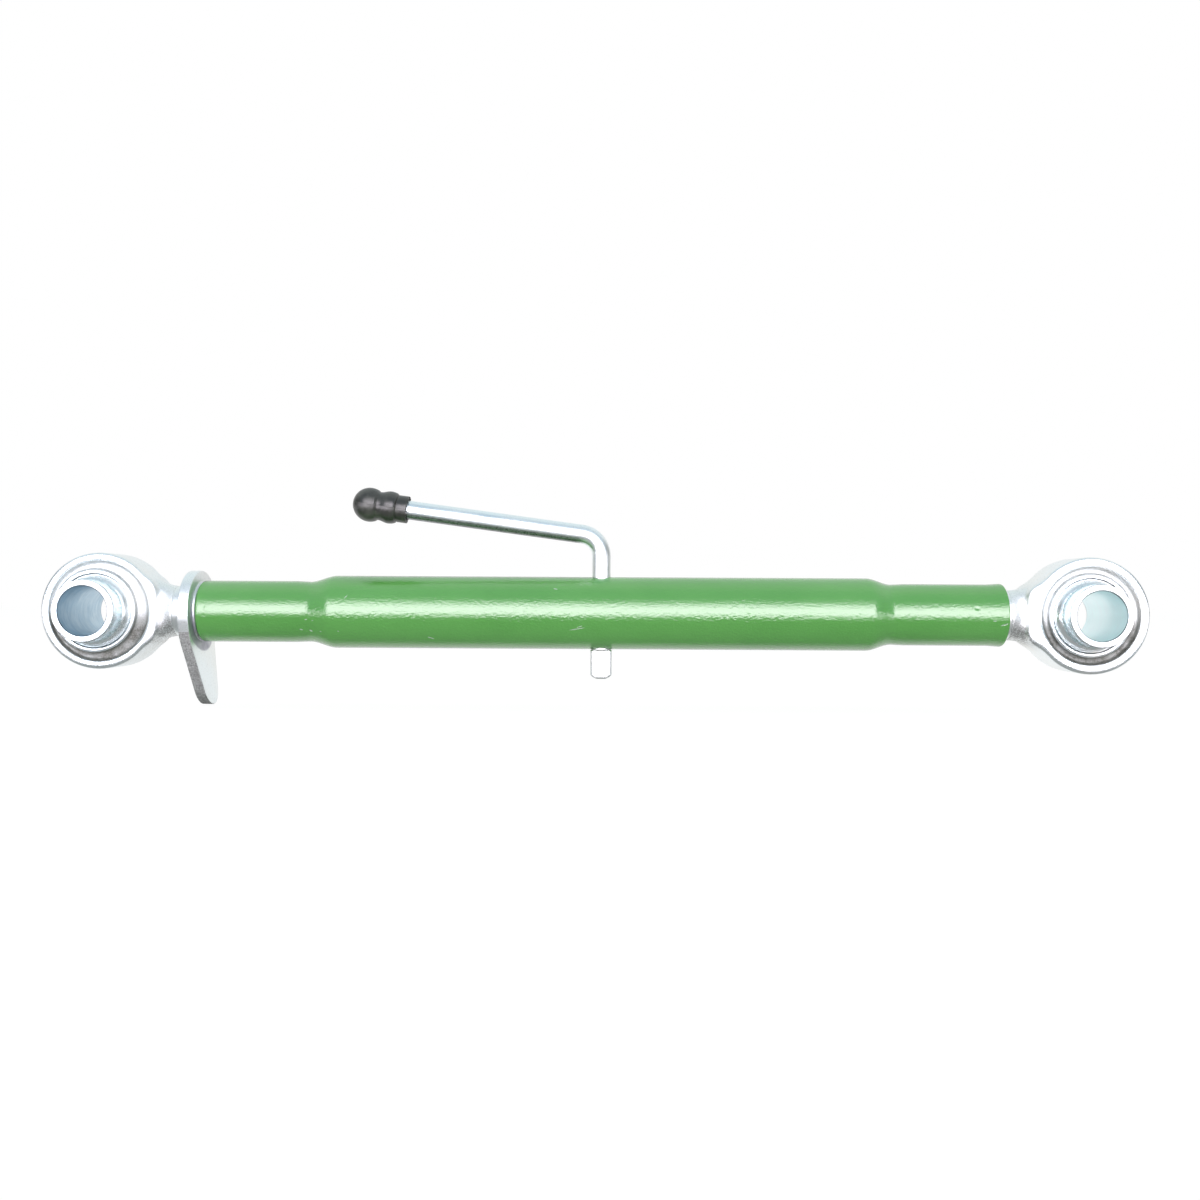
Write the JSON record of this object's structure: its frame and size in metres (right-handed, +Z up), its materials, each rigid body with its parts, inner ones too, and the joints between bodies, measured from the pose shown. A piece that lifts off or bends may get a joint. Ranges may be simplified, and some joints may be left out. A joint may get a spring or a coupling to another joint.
{
  "type": "tractor top link",
  "caption": "Adjustable top link with a green barrel tube, opposite-handed threaded ball ends, a lever lock nut and a bent turning handle with a rubber grip.",
  "frame": {"origin": "centre of the tractor end's ball, on its pin bore's axis", "axes": "+X along the link to the implement end's ball, +Y along both pin bores, away from the picture's camera, +Z up"},
  "size_m": [0.5785, 0.051, 0.1156],
  "materials": {
    "green_paint": "gloss enamel over steel tube",
    "zinc_plated_steel": "bright zinc plate with a pale blue tint",
    "black_rubber": "moulded, slightly shiny"
  },
  "bodies": {
    "tube": {"barrel_tube": "green_paint"},
    "tractor_end": {"tractor_eye": "zinc_plated_steel", "tractor_screw": "zinc_plated_steel"},
    "tractor_ball": {"tractor_ball": "zinc_plated_steel"},
    "implement_end": {"implement_eye": "zinc_plated_steel", "implement_screw": "zinc_plated_steel"},
    "implement_ball": {"implement_ball": "zinc_plated_steel"},
    "lock_nut": {"lock_nut": "zinc_plated_steel"},
    "handle": {"handle_bar": "zinc_plated_steel", "handle_grip": "black_rubber"}
  },
  "joints": [
    {"name": "tractor_screw_out", "type": "slide", "parent": "tube", "child": "tractor_end", "axis": [-1, 0, 0], "range_m": [0, 0.105]},
    {"name": "implement_screw_out", "type": "slide", "parent": "tube", "child": "implement_end", "axis": [1, 0, 0], "range_m": [0, 0.105]},
    {"name": "tractor_ball_sway", "type": "hinge", "parent": "tractor_end", "child": "tractor_ball", "pos_m": [0, 0, 0], "axis": [0, 0, 1], "range_deg": [-12, 12]},
    {"name": "implement_ball_sway", "type": "hinge", "parent": "implement_end", "child": "implement_ball", "pos_m": [0.52, 0, 0], "axis": [0, 0, 1], "range_deg": [-12, 12]},
    {"name": "lock_nut_turn", "type": "hinge", "parent": "tube", "child": "lock_nut", "pos_m": [0.05, 0, 0], "axis": [1, 0, 0], "continuous": true},
    {"name": "handle_swing", "type": "hinge", "parent": "tube", "child": "handle", "pos_m": [0.26555, 0, 0], "axis": [0, 0, 1], "continuous": true}
  ],
  "couplings": [
    {"joint": "implement_screw_out", "follows": "tractor_screw_out", "ratio": 1}
  ]
}
